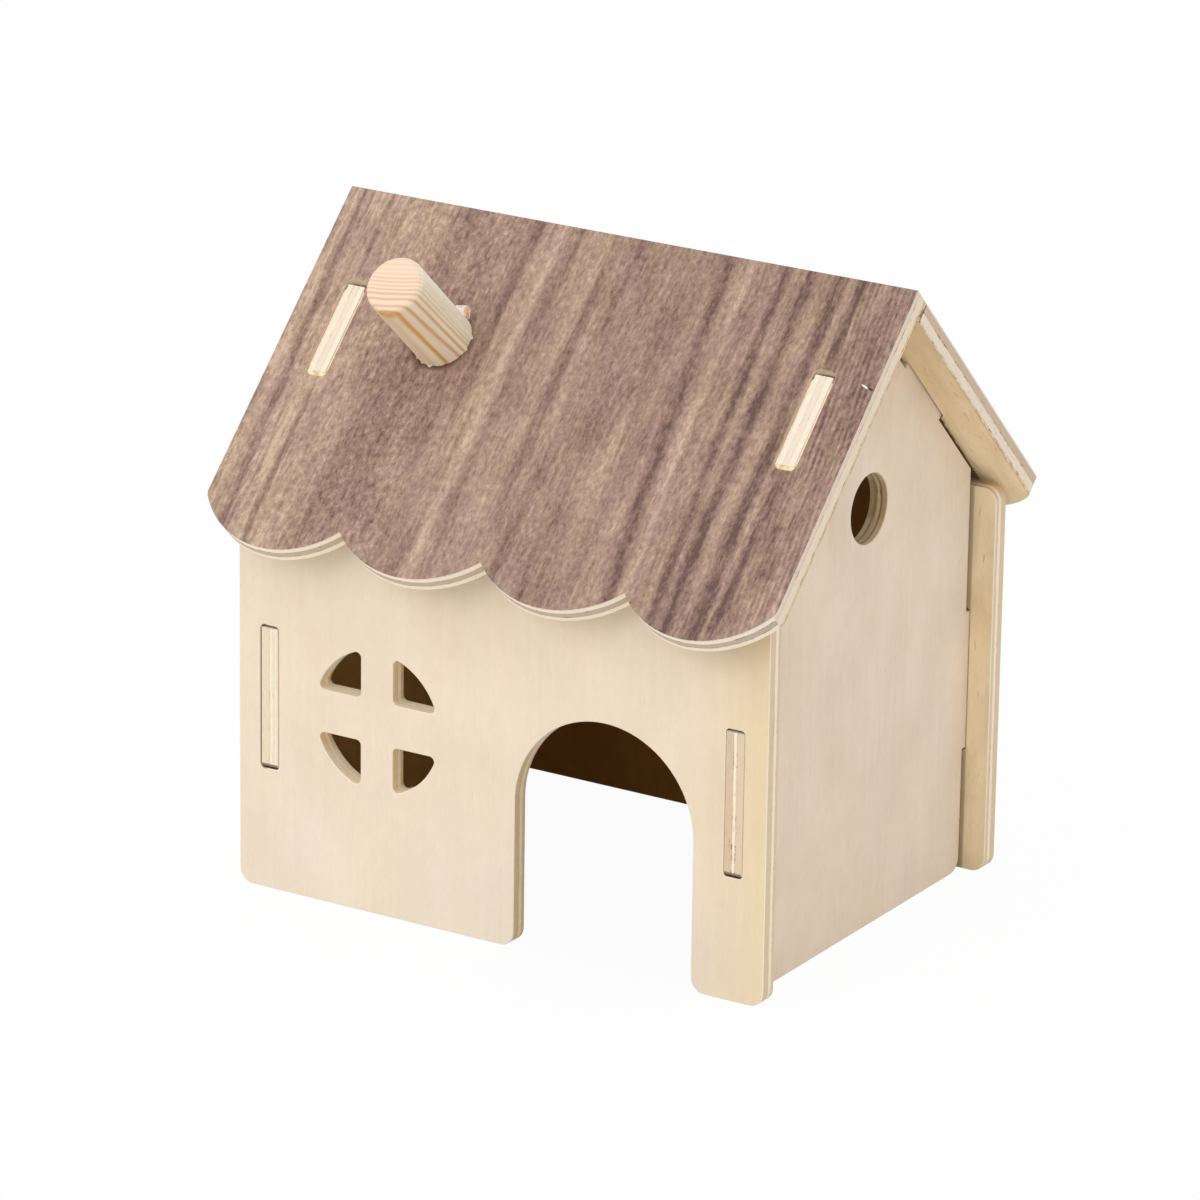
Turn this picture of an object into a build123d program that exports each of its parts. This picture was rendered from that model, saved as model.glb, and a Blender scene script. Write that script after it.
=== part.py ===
from build123d import *
from math import cos, radians, sin, sqrt, tan
import os

# A small pet house cut from flat plywood panels. Front and back walls are pushed onto the tabs of two
# gabled side walls. Two scalloped roof panels, faced with walnut, sit on the tabs of the gable slopes,
# and a length of pine dowel glued to the front slope makes the chimney. The house has no floor.
# X runs along the ridge, the front faces -Y, Z is up, and Z = 0 is the surface it stands on.
# The origin is below the middle of the ridge. All sizes are in millimetres and degrees.

# Plywood stock
ply = 4.0  # thickness of every panel
veneer = 0.3  # walnut face sheet laid on each roof panel
edge_ease = 0.15  # width of the sanded bevel along the outlines of the panels
corner_radius = 3.0  # corners of the walls and feet of the door jambs

# House shell
house_width = 120.0  # front and back walls, end to end
house_depth = 90.0  # outer face of the front wall to outer face of the back wall
wall_height = 80.0  # front and back walls
side_inset = 5.2  # outer face of a side wall, in from the ends of the front and back walls

# Tab joints
side_play = 0.08  # gap between an upright tab and its slot, on each face of the tab
end_play = 0.5  # gap between an upright tab and its slot, at each end of the tab
slope_side_play = 0.34  # the same gaps for the tabs of the gable slopes, which sit looser in the roof
slope_end_play = 1.0
shoulder_gap = 1.2  # between the upright edges of a side wall and the front and back walls
wall_slot_length = 29.6  # upright slots in the front and back walls
wall_slot_height = 39.8  # middle of an upright slot above the floor
roof_slot_length = 21.6  # slots in the roof panels, along the slope
front_slot_drop = 26.7  # middle of a front roof slot below the inner ridge line, along the slope
back_slot_drop = 28.5  # middle of a back roof slot, likewise

# Roof
roof_pitch = 45.0  # slope of both roof panels
gable_overhang = 4.0  # roof beyond each end of the front and back walls
eave_overhang = 5.1  # roof beyond the outer face of the wall, along the slope, to the scallop notches
roof_seat = 0.05  # gap between the top edge of the front or back wall and the roof's underside
gable_gap = 1.0  # gap between the gable slopes and the roof's underside
ridge_gap = 0.4  # gap between the butt end of the back panel and the front panel
scallop_count = 4  # scallops along each eave
scallop_depth = 6.6  # a scallop's lowest point below the notches
end_scallop_rise = 2.3  # an end scallop meets the side edge this far above the notches
eave_corner = 2.5  # rounded corner between an end scallop and the side edge

# Doorway, with a half-round arch
door_width = 40.0
door_spring = 30.0  # height of the straight jambs
door_x = 24.0  # middle of the doorway, right of the ridge's middle

# Round window with a cross
window_diameter = 28.9
window_x = -27.8
window_height = 39.6  # middle of the window above the floor
mullion = 7.4  # width of the upright bar
transom = 8.8  # height of the level bar
pane_corner = 1.1  # rounded corners of the four panes

# Round holes in the gables
vent_diameter = 14.0
vent_height = 86.3  # middle of the hole above the floor

# Chimney dowel, standing on the front roof panel
chimney_diameter = 12.0
chimney_length = 23.2  # along its axis
chimney_x = -29.1
chimney_drop = 24.55  # middle of its foot below the inner ridge line, along the slope
chimney_lean = 3.7  # down the slope, because its foot is sawn a little off square
chimney_rim = 1.2  # rounded rim of the free end

# Worked out from the sizes above
pitch = radians(roof_pitch)
side_face = house_width / 2 - side_inset  # outer face of the right side wall
roof_ply = ply + veneer  # a whole roof panel
slot_width = ply + 2 * side_play
slot_corner = side_play + end_play + sqrt(side_play * end_play)  # clears the square corners of a tab
roof_slot_width = ply + 2 * slope_side_play
roof_slot_corner = slope_side_play + slope_end_play
slot_x = side_face - ply / 2  # slots line up with the middle of a side wall
wall_tab_length = wall_slot_length - 2 * end_play
roof_tab_length = roof_slot_length - 2 * slope_end_play
ridge_height = wall_height + house_depth / 2 * tan(pitch) + roof_seat / cos(pitch)  # undersides meet here
roof_width = house_width + 2 * gable_overhang
roof_drop = house_depth / 2 / cos(pitch) + eave_overhang  # inner ridge line to the scallop notches
front_lap = roof_ply / sin(2 * pitch)  # the front panel runs past the inner ridge line, over the back panel
back_butt = max(0, roof_ply / tan(2 * pitch)) + ridge_gap  # the back panel's end stops short of that line

# Outer faces of the roof panels: origin on the top edge, local Y up the slope
up_front = Vector(0, cos(pitch), sin(pitch))
out_front = Vector(0, -sin(pitch), cos(pitch))
up_back = Vector(0, -cos(pitch), sin(pitch))
out_back = Vector(0, sin(pitch), cos(pitch))
inner_ridge = Vector(0, 0, ridge_height)
front_top = inner_ridge + up_front * front_lap + out_front * roof_ply
back_top = inner_ridge - up_back * back_butt + out_back * roof_ply
front_slope = Plane(front_top, x_dir=(1, 0, 0), z_dir=out_front)
back_slope = Plane(back_top, x_dir=(-1, 0, 0), z_dir=out_back)

os.makedirs("parts", exist_ok=True)


# Front wall: doorway on the right, window on the left, a slot near each end
with BuildSketch() as window_panes:
    with Locations((window_x, window_height)):
        Circle(window_diameter / 2)
        Rectangle(mullion, window_diameter, mode=Mode.SUBTRACT)
        Rectangle(window_diameter, transom, mode=Mode.SUBTRACT)
    fillet(window_panes.vertices(), pane_corner)

with BuildPart() as front_wall:
    with BuildSketch(Plane.XZ.offset(house_depth / 2)) as front_outline:
        with Locations((0, wall_height / 2)):
            Rectangle(house_width, wall_height)
        with Locations((door_x, door_spring / 2)):
            Rectangle(door_width, door_spring, mode=Mode.SUBTRACT)
        with Locations((door_x, door_spring)):
            Circle(door_width / 2, mode=Mode.SUBTRACT)
        rows = front_outline.vertices().group_by(Axis.Y)
        fillet(rows[0] + rows[-1], corner_radius)
        with Locations((-slot_x, wall_slot_height), (slot_x, wall_slot_height)):
            RectangleRounded(slot_width, wall_slot_length, slot_corner, mode=Mode.SUBTRACT)
        add(window_panes.sketch, mode=Mode.SUBTRACT)
    extrude(amount=-ply)
    chamfer(front_wall.faces().filter_by(Axis.Y).edges(), edge_ease)
front_wall.part.label = "front_wall"
export_step(front_wall.part, "parts/front_wall.step")

# Back wall: plain, with the same two slots
with BuildPart() as back_wall:
    with BuildSketch(Plane.XZ.offset(-house_depth / 2)):
        with Locations((0, wall_height / 2)):
            RectangleRounded(house_width, wall_height, corner_radius)
        with Locations((-slot_x, wall_slot_height), (slot_x, wall_slot_height)):
            RectangleRounded(slot_width, wall_slot_length, slot_corner, mode=Mode.SUBTRACT)
    extrude(amount=ply)
    chamfer(back_wall.faces().filter_by(Axis.Y).edges(), edge_ease)
back_wall.part.label = "back_wall"
export_step(back_wall.part, "parts/back_wall.step")

# Side wall: a gable with a round hole, two upright tabs and a tab square to each slope
shoulder = house_depth / 2 - ply - shoulder_gap  # upright edges, either side of the middle
gable_apex = ridge_height - gable_gap / cos(pitch)
shoulder_height = gable_apex - shoulder * tan(pitch)
with BuildPart() as right_side_wall:
    with BuildSketch(Plane.YZ.offset(side_face)) as gable:
        with BuildLine():
            Polyline(
                (-shoulder, 0),
                (shoulder, 0),
                (shoulder, shoulder_height),
                (0, gable_apex),
                (-shoulder, shoulder_height),
                close=True,
            )
        make_face()
        fillet(gable.vertices().group_by(Axis.Y)[0], corner_radius)
        # Upright tabs end flush with the outer faces of the front and back walls
        with Locations((0, wall_slot_height)):
            Rectangle(house_depth, wall_tab_length)
        # Slope tabs end flush with the walnut faces, and reach as far into the gable as out of it
        slope_tabs = ((up_front, roof_pitch, front_slot_drop), (up_back, -roof_pitch, back_slot_drop))
        for up_slope, turn, slot_drop in slope_tabs:
            tab_foot = inner_ridge - up_slope * slot_drop
            with Locations(Location((tab_foot.Y, tab_foot.Z, 0), (0, 0, turn))):
                Rectangle(roof_tab_length, 2 * roof_ply)
        with Locations((0, vent_height)):
            Circle(vent_diameter / 2, mode=Mode.SUBTRACT)
    extrude(amount=-ply)
    chamfer(right_side_wall.faces().filter_by(Axis.X).edges(), edge_ease)
right_side_wall.part.label = "right_side_wall"
export_step(right_side_wall.part, "parts/right_side_wall.step")

with BuildPart() as left_side_wall:
    mirror(right_side_wall.part, about=Plane.YZ)
left_side_wall.part.label = "left_side_wall"
export_step(left_side_wall.part, "parts/left_side_wall.step")


def roof_outline(lap, slot_drop):
    """Roof panel with its top edge on local X, lap above the inner ridge line, and its eave below."""
    notches = -(roof_drop + lap)
    side_end = notches + end_scallop_rise
    half_width = roof_width / 2
    scallop = roof_width / scallop_count
    with BuildSketch() as outline:
        with BuildLine():
            Polyline((-half_width, side_end), (-half_width, 0), (half_width, 0), (half_width, side_end))
            for i in range(scallop_count):
                start = half_width - i * scallop
                end = start - scallop
                ThreePointArc(
                    (start, side_end if i == 0 else notches),
                    (start - scallop / 2, notches - scallop_depth),
                    (end, side_end if i == scallop_count - 1 else notches),
                )
        make_face()
        fillet(outline.vertices().filter_by_position(Axis.Y, side_end, side_end), eave_corner)
        with Locations((-slot_x, -(slot_drop + lap)), (slot_x, -(slot_drop + lap))):
            RectangleRounded(roof_slot_width, roof_slot_length, roof_slot_corner, mode=Mode.SUBTRACT)
    return outline.sketch


# Front roof panel, which laps over the ridge, and its walnut face
front_sheet = roof_outline(front_lap, front_slot_drop)
with BuildPart() as front_roof_panel:
    with BuildSketch(front_slope.offset(-veneer)):
        add(front_sheet)
    extrude(amount=-ply)
    underside = front_roof_panel.faces().sort_by(Axis((0, 0, 0), out_front))[0]
    chamfer(underside.edges(), edge_ease)
front_roof_panel.part.label = "front_roof_panel"
export_step(front_roof_panel.part, "parts/front_roof_panel.step")

with BuildPart() as front_roof_veneer:
    with BuildSketch(front_slope):
        add(front_sheet)
    extrude(amount=-veneer)
front_roof_veneer.part.label = "front_roof_veneer"
export_step(front_roof_veneer.part, "parts/front_roof_veneer.step")

# Back roof panel, which butts against the front one, and its walnut face
back_sheet = roof_outline(-back_butt, back_slot_drop)
with BuildPart() as back_roof_panel:
    with BuildSketch(back_slope.offset(-veneer)):
        add(back_sheet)
    extrude(amount=-ply)
    underside = back_roof_panel.faces().sort_by(Axis((0, 0, 0), out_back))[0]
    chamfer(underside.edges(), edge_ease)
back_roof_panel.part.label = "back_roof_panel"
export_step(back_roof_panel.part, "parts/back_roof_panel.step")

with BuildPart() as back_roof_veneer:
    with BuildSketch(back_slope):
        add(back_sheet)
    extrude(amount=-veneer)
back_roof_veneer.part.label = "back_roof_veneer"
export_step(back_roof_veneer.part, "parts/back_roof_veneer.step")

# Chimney: a dowel glued by its sawn foot to the walnut face
chimney_foot = front_slope.from_local_coords((chimney_x, -(chimney_drop + front_lap), 0))
chimney_end = Plane(chimney_foot, x_dir=(1, 0, 0), z_dir=out_front).rotated((chimney_lean, 0, 0))
with BuildPart() as chimney_dowel:
    with BuildSketch(chimney_end.offset(chimney_length)):
        Circle(chimney_diameter / 2)
    extrude(amount=-(chimney_length + chimney_diameter))
    split(bisect_by=front_slope, keep=Keep.TOP)
    free_end = chimney_dowel.faces().sort_by(Axis((0, 0, 0), chimney_end.z_dir))[-1]
    fillet(free_end.edges(), chimney_rim)
chimney_dowel.part.label = "chimney_dowel"
export_step(chimney_dowel.part, "parts/chimney_dowel.step")
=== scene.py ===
import bmesh
import bpy
from math import cos, radians, sin, sqrt
from mathutils import Matrix, Vector


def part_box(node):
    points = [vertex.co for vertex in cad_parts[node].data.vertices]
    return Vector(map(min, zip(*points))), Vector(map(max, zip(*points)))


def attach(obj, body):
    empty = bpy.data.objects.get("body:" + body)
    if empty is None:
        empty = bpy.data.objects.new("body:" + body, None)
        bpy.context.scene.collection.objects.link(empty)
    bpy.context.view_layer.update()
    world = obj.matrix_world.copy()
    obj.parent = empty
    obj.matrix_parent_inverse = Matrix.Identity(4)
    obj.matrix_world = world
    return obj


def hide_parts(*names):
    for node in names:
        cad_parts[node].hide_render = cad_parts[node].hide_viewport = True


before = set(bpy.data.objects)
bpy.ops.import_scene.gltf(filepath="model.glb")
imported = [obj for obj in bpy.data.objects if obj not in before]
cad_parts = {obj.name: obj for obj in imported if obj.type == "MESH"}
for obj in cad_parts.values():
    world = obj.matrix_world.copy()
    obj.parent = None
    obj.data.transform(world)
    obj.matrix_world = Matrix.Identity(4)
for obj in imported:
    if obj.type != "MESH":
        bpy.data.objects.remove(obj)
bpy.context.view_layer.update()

# Plywood sheets: the four walls and the two boards of the roof are cut from three-ply basswood. The
# show face is pale and close-grained, the inner face is a plainer, yellower veneer, and the sawn edges
# show three plies with a broken brown glue line between them.
mm = 0.001
in_millimetres = (1000, 1000, 1000)  # what turns a place in metres into millimetres
slope = sqrt(0.5)  # rise, and run, of each millimetre down the roof, which is pitched at 45 degrees


def colour(red, green, blue):
    """A paint chart's 0 to 255 values as the scene's own."""
    parts = (value / 255 for value in (red, green, blue))
    return (*(part / 12.92 if part < 0.04 else ((part + 0.055) / 1.055) ** 2.4 for part in parts), 1.0)


def lay(tree, kind, sockets, **settings):
    """Adds a node. Each socket is given a value, or is joined to another node's output."""
    node = tree.nodes.new("ShaderNode" + kind)
    for name, setting in settings.items():
        setattr(node, name, setting)
    for name, feed in sockets.items():
        if isinstance(feed, bpy.types.NodeSocket):
            tree.links.new(feed, node.inputs[name])
        else:
            node.inputs[name].default_value = feed
    return node


def sums(tree, operation, *feeds, clamp=False):
    """A Math node's result."""
    return lay(tree, "Math", dict(enumerate(feeds)), operation=operation, use_clamp=clamp).outputs[0]


def vectors(tree, operation, *feeds):
    """A Vector Math node's result: a number for a dot product or a length, else a vector."""
    node = lay(tree, "VectorMath", dict(enumerate(feeds)), operation=operation)
    return node.outputs["Value" if operation in ("DOT_PRODUCT", "LENGTH") else "Vector"]


def fade(tree, value, low, high, to_low=0.0, to_high=1.0):
    """Goes smoothly from to_low at low to to_high at high."""
    sockets = {"Value": value, "From Min": low, "From Max": high, "To Min": to_low, "To Max": to_high}
    return lay(tree, "MapRange", sockets, interpolation_type="SMOOTHSTEP").outputs["Result"]


def stain(tree, amount, under, over):
    """Lays one colour over another by amount."""
    sockets = {0: amount, 6: under, 7: over}
    return lay(tree, "Mix", sockets, data_type="RGBA").outputs[2]


def shade(tree, base, factor):
    """Multiplies a colour by a number."""
    return vectors(tree, "MULTIPLY", base, factor)


def figure(tree, place, stretch, seed, detail, roughness=0.5):
    """Noise about zero, drawn out along the grain: stretch is cycles per millimetre each way."""
    at = vectors(tree, "ADD", vectors(tree, "MULTIPLY", place, stretch), seed)
    sockets = {"Vector": at, "Scale": 1.0, "Detail": detail, "Roughness": roughness}
    return sums(tree, "SUBTRACT", lay(tree, "TexNoise", sockets).outputs[0], 0.5)


def new_group(name, takes, gives):
    """A shader node group with named sockets, its inputs and its outputs."""
    tree = bpy.data.node_groups.new(name, "ShaderNodeTree")
    for direction, sockets in (("INPUT", takes), ("OUTPUT", gives)):
        for socket, kind in sockets.items():
            tree.interface.new_socket(socket, in_out=direction, socket_type="NodeSocket" + kind)
    return tree, tree.nodes.new("NodeGroupInput").outputs, tree.nodes.new("NodeGroupOutput").inputs


def place_group(tree, group, sockets):
    """Puts a group in a material or in another group and gives its outputs."""
    return lay(tree, "Group", sockets, node_tree=group).outputs


# Where a point lies in its sheet, in millimetres: across the grain, along it, and in from the show face
sheet_place, takes, gives = new_group(
    "Sheet Place",
    {"Face Point": "Vector", "Inward": "Vector", "Grain": "Vector"},
    {"Place": "Vector", "Cut Edge": "Float", "Bevel": "Float", "Cross Cut": "Float"},
)
here = sheet_place.nodes.new("ShaderNodeTexCoord").outputs
from_face = vectors(sheet_place, "SUBTRACT", here["Object"], takes["Face Point"])
from_face = vectors(sheet_place, "MULTIPLY", from_face, in_millimetres)
crosswise = vectors(sheet_place, "CROSS_PRODUCT", takes["Grain"], takes["Inward"])
place = lay(
    sheet_place,
    "CombineXYZ",
    {
        0: vectors(sheet_place, "DOT_PRODUCT", from_face, crosswise),
        1: vectors(sheet_place, "DOT_PRODUCT", from_face, takes["Grain"]),
        2: vectors(sheet_place, "DOT_PRODUCT", from_face, takes["Inward"]),
    },
)
sheet_place.links.new(place.outputs[0], gives["Place"])
# A face looks along Inward, a cut edge looks square to it, and a bevel looks between the two
facing = sums(sheet_place, "ABSOLUTE", vectors(sheet_place, "DOT_PRODUCT", here["Normal"], takes["Inward"]))
off_cut = sums(sheet_place, "GREATER_THAN", facing, 0.5)
off_face = sums(sheet_place, "LESS_THAN", facing, 0.95)
sheet_place.links.new(sums(sheet_place, "SUBTRACT", 1.0, off_cut), gives["Cut Edge"])
sheet_place.links.new(sums(sheet_place, "MULTIPLY", off_cut, off_face), gives["Bevel"])
along = sums(sheet_place, "ABSOLUTE", vectors(sheet_place, "DOT_PRODUCT", here["Normal"], takes["Grain"]))
sheet_place.links.new(fade(sheet_place, along, 0.45, 0.65), gives["Cross Cut"])

# Close, even grain of a basswood veneer: clouds, faint lines, short pores and darker flecks
basswood, takes, gives = new_group(
    "Basswood",
    {"Place": "Vector", "Seed": "Vector", "Colour": "Color", "Fleck": "Color", "Strength": "Float"},
    {"Colour": "Color", "Height": "Float"},
)
clouds = figure(basswood, takes["Place"], (0.07, 0.05, 0.05), takes["Seed"], 4)
lines = figure(basswood, takes["Place"], (0.8, 0.04, 0.8), takes["Seed"], 3)
mottle = figure(basswood, takes["Place"], (0.5, 0.3, 0.5), takes["Seed"], 2)
pores = figure(basswood, takes["Place"], (3.2, 0.5, 3.2), takes["Seed"], 2)
tone = sums(basswood, "MULTIPLY", clouds, 0.22)
tone = sums(basswood, "MULTIPLY_ADD", lines, 0.1, tone)
tone = sums(basswood, "MULTIPLY_ADD", mottle, 0.08, tone)
tone = sums(basswood, "MULTIPLY_ADD", pores, 0.1, tone)
tone = sums(basswood, "MULTIPLY_ADD", tone, takes["Strength"], 1.0)
warmth = figure(basswood, takes["Place"], (0.09, 0.04, 0.1), takes["Seed"], 2)
warmth = fade(basswood, warmth, -0.2, 0.25, 0, 0.35)
flecks = figure(basswood, takes["Place"], (1.3, 0.22, 1.3), takes["Seed"], 1)
flecks = sums(basswood, "MULTIPLY", fade(basswood, flecks, 0.14, 0.3, 0, 0.6), takes["Strength"])
stained = sums(basswood, "MAXIMUM", sums(basswood, "MULTIPLY", warmth, takes["Strength"]), flecks)
face = stain(basswood, stained, takes["Colour"], takes["Fleck"])
basswood.links.new(shade(basswood, face, tone), gives["Colour"])
basswood.links.new(sums(basswood, "MULTIPLY_ADD", lines, 0.5, pores), gives["Height"])

# Sawn edge of a three-ply sheet: three plies, a wavering line of glue between each two, and torn pits
sawn_edge, takes, gives = new_group(
    "Sawn Edge",
    {
        "Place": "Vector",
        "Seed": "Vector",
        "Outer Ply": "Color",
        "Middle Ply": "Color",
        "Inner Ply": "Color",
        "Glue": "Color",
        "First Line": "Float",
        "Second Line": "Float",
        "Broken": "Float",
    },
    {"Colour": "Color", "Height": "Float"},
)
waver = figure(sawn_edge, takes["Place"], (0.12, 0.12, 0.3), takes["Seed"], 2)
depth = lay(sawn_edge, "SeparateXYZ", {0: takes["Place"]}).outputs[2]
depth = sums(sawn_edge, "MULTIPLY_ADD", waver, 0.3, depth)
from_first = sums(sawn_edge, "SUBTRACT", depth, takes["First Line"])
from_second = sums(sawn_edge, "SUBTRACT", depth, takes["Second Line"])
plies = stain(sawn_edge, fade(sawn_edge, from_first, -0.12, 0.12), takes["Outer Ply"], takes["Middle Ply"])
plies = stain(sawn_edge, fade(sawn_edge, from_second, -0.12, 0.12), plies, takes["Inner Ply"])
fibres = figure(sawn_edge, takes["Place"], (0.4, 0.4, 3.0), takes["Seed"], 3)
ends = figure(sawn_edge, takes["Place"], (2.5, 2.5, 3.5), takes["Seed"], 2)
rough_cut = sums(sawn_edge, "MULTIPLY_ADD", fibres, 0.2, sums(sawn_edge, "MULTIPLY_ADD", ends, 0.16, 1.0))
breaks = figure(sawn_edge, takes["Place"], (0.45, 0.45, 0.2), takes["Seed"], 4, 0.65)
breaks = fade(sawn_edge, breaks, -0.02, 0.2, 0.2, takes["Broken"])
nearest = sums(sawn_edge, "MINIMUM", *(sums(sawn_edge, "ABSOLUTE", d) for d in (from_first, from_second)))
glue = sums(sawn_edge, "MULTIPLY", fade(sawn_edge, nearest, 0.04, 0.2, 1, 0), breaks)
pits = figure(sawn_edge, takes["Place"], (0.45, 0.45, 1.3), takes["Seed"], 5, 0.75)
pits = fade(sawn_edge, pits, 0.08, 0.26, 0, 0.6)
marks = sums(sawn_edge, "MAXIMUM", glue, sums(sawn_edge, "MULTIPLY", pits, takes["Broken"]))
cut = stain(sawn_edge, marks, shade(sawn_edge, plies, rough_cut), takes["Glue"])
sawn_edge.links.new(cut, gives["Colour"])
sawn_edge.links.new(sums(sawn_edge, "SUBTRACT", ends, glue), gives["Height"])

# Back faces carry painted room shade up to the inner face of the side walls, and go plain over the next 3 mm
room_half = -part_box("left_side_wall")[1].x / mm
room_fade = 3.0
fleck_shade = 0.72  # how dark the flecks in the room are against the wood round them
old_wood, back_face, back_fleck = colour(236, 211, 168), colour(247, 228, 192), colour(214, 186, 142)


def saw_cut(outer, middle, inner, glue, glue_lines, broken):
    """Colours of the three plies of a sawn edge and of its glue, the depth in mm of the two glue lines, and
    how broken and pitted they are."""
    return {
        "Outer Ply": colour(*outer),
        "Middle Ply": colour(*middle),
        "Inner Ply": colour(*inner),
        "Glue": colour(*glue),
        "First Line": glue_lines[0],
        "Second Line": glue_lines[1],
        "Broken": broken,
    }


def past_slot(tree, across, along, half_width, half_length, corner):
    """Millimetres from the rim of a slot with rounded corners, less than nothing inside it."""
    aside = sums(tree, "SUBTRACT", sums(tree, "ABSOLUTE", across), half_width - corner)
    beyond = sums(tree, "SUBTRACT", sums(tree, "ABSOLUTE", along), half_length - corner)
    sockets = {0: sums(tree, "MAXIMUM", aside, 0.0), 1: sums(tree, "MAXIMUM", beyond, 0.0)}
    clear = vectors(tree, "LENGTH", lay(tree, "CombineXYZ", sockets).outputs[0])
    return sums(tree, "SUBTRACT", clear, corner)


def ply_sheet(
    node,
    face_point,
    inward,
    seed,
    show,
    room,
    cuts,
    bevel,
    opening,
    marks,
    aged=(70, 71),
    grain=(0, 0, 1),
):
    """Dresses a sheet of the frame in ply: its two faces, its sawn edges and the bevel along them. Show is
    the colour of its show face, its flecks and their strength, and room that of its back face inside the
    house, on the walls a painted shade of the dim room. Cuts are its sawn edges, first along the grain and
    then across it. Bevel is the colour laid over the bevel, on the front and back walls a painted highlight.
    Opening is the middle of its holes, one over their reach each way, and the tint of their edges: painted
    light on the front wall's middle, round its door and windows, and painted shade with a yellower tone in
    the side walls' round hole. Marks adds the stains and painted shade that only this sheet has. Aged is
    where its show face yellows, from left to right. The point on the show face is in metres, and the
    opening and aged are in millimetres."""
    material = bpy.data.materials.new(node + "_ply")
    material.use_nodes = True
    tree = material.node_tree
    wood = tree.nodes["Principled BSDF"]
    sheet = place_group(tree, sheet_place, {"Face Point": face_point, "Inward": inward, "Grain": grain})
    common = {"Place": sheet["Place"], "Seed": seed}
    place = tree.nodes.new("ShaderNodeTexCoord").outputs["Object"]
    place = vectors(tree, "MULTIPLY", place, in_millimetres)
    spot = lay(tree, "SeparateXYZ", {0: place}).outputs
    old = fade(tree, spot[0], *aged, 0, 0.75)
    sockets = common | {"Colour": stain(tree, old, show[0], old_wood), "Fleck": show[1], "Strength": show[2]}
    front = place_group(tree, basswood, sockets)
    # Inside the house the back face takes the room colour, on the walls a painted shade of the dim room
    room_shade_mask = fade(tree, sums(tree, "ABSOLUTE", spot[0]), room_half, room_half + room_fade, 1, 0)
    rear_colour = stain(tree, room_shade_mask, back_face, room)
    rear_fleck = stain(tree, room_shade_mask, back_fleck, (*(fleck_shade * part for part in room[:3]), 1.0))
    rear = place_group(tree, basswood, common | {"Colour": rear_colour, "Fleck": rear_fleck, "Strength": 1.6})
    sawn = [place_group(tree, sawn_edge, common | cut) for cut in cuts]
    sawn_colour = stain(tree, sheet["Cross Cut"], sawn[0]["Colour"], sawn[1]["Colour"])
    # The sawn edges in its holes take the opening's tint of painted light and shade
    reached = vectors(tree, "MULTIPLY", vectors(tree, "SUBTRACT", place, opening[0]), opening[1])
    in_hole = fade(tree, vectors(tree, "LENGTH", reached), 0.97, 1.0, 1, 0)
    sawn_colour = shade(tree, sawn_colour, stain(tree, in_hole, (1, 1, 1, 1), opening[2]))
    depth = lay(tree, "SeparateXYZ", {0: sheet["Place"]}).outputs[2]
    faces = stain(tree, fade(tree, depth, 1.5, 2.5), front["Colour"], rear["Colour"])
    # Over the bevel goes its colour, on the front and back walls a painted highlight along the arris
    faces = stain(tree, sums(tree, "MULTIPLY", sheet["Bevel"], 0.75), faces, bevel)
    faces, sawn_colour = marks(tree, sheet, spot, faces, sawn_colour)
    tree.links.new(stain(tree, sheet["Cut Edge"], faces, sawn_colour), wood.inputs["Base Color"])
    height = lay(tree, "Mix", {0: sheet["Cut Edge"], 2: front["Height"], 3: sawn[0]["Height"]}).outputs[0]
    relief = lay(tree, "Bump", {"Strength": 0.35, "Distance": 0.00008, "Height": height})
    tree.links.new(relief.outputs[0], wood.inputs["Normal"])
    tree.links.new(fade(tree, height, -0.4, 0.4, 0.68, 0.58), wood.inputs["Roughness"])
    wood.inputs["Specular IOR Level"].default_value = 0.25
    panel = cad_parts[node]
    panel.data.materials.clear()
    panel.data.materials.append(material)


# Walls. The front wall's show face is the warmest. The grain stands upright in all four, and inside the
# room the plain back faces carry painted shade. The side walls' tabs show their ends in the others' slots.
front_show = (colour(240, 223, 201), colour(232, 210, 176), 0.8)
side_show = (colour(240, 222, 202), colour(223, 202, 172), 1.0)
# Room colours are painted shade on the back faces inside the house, brown for end walls and tan for side
# walls
# The third, dark brown is real burning in the round hole, and painted shade down the left front slot's rim
room_shade_brown, room_shade_tan, scorch_and_shade = colour(178, 126, 62), colour(220, 178, 108), colour(112, 82, 54)
# The first bevel colour is a painted highlight along the front and back walls' arris; the second is plain
arris_highlight, dull = colour(255, 248, 234), colour(232, 212, 184)
# This brown is painted shade in the gaps and corners where the walls and roof boards meet
gap_shade_brown = colour(112, 74, 34)
wall_cut = saw_cut((229, 205, 172), (253, 238, 214), (228, 206, 176), (176, 142, 104), (1.85, 3.0), 0.7)
ledge_cut = saw_cut((240, 224, 206), (252, 238, 222), (248, 236, 224), (190, 160, 128), (1.7, 2.8), 0.6)
left_cut = saw_cut((236, 219, 192), (249, 235, 212), (242, 229, 208), (190, 156, 118), (1.95, 2.8), 0.6)
right_cut = saw_cut((229, 207, 176), (252, 237, 212), (219, 197, 166), (150, 104, 58), (1.55, 2.3), 1.3)
tab_cut = saw_cut((246, 233, 213), (240, 224, 203), (246, 234, 215), (214, 184, 152), (1.4, 2.7), 1.0)
slot_aside, slot_height = 52.8, 39.8  # middle of an upright slot, from the middle and from the floor
slot_half, slot_reach = 2.08, 14.8  # half of its width and of its length
side_face = 54.8  # outer face of a side wall, from the middle
tab_low_end = 25.5  # lower end of an upright tab, above the floor
vent_height, vent_radius = 86.3, 7.0
no_tint = (1, 1, 1, 1)
no_hole = ((0, 0, -1), (1, 1, 1), no_tint)
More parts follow.
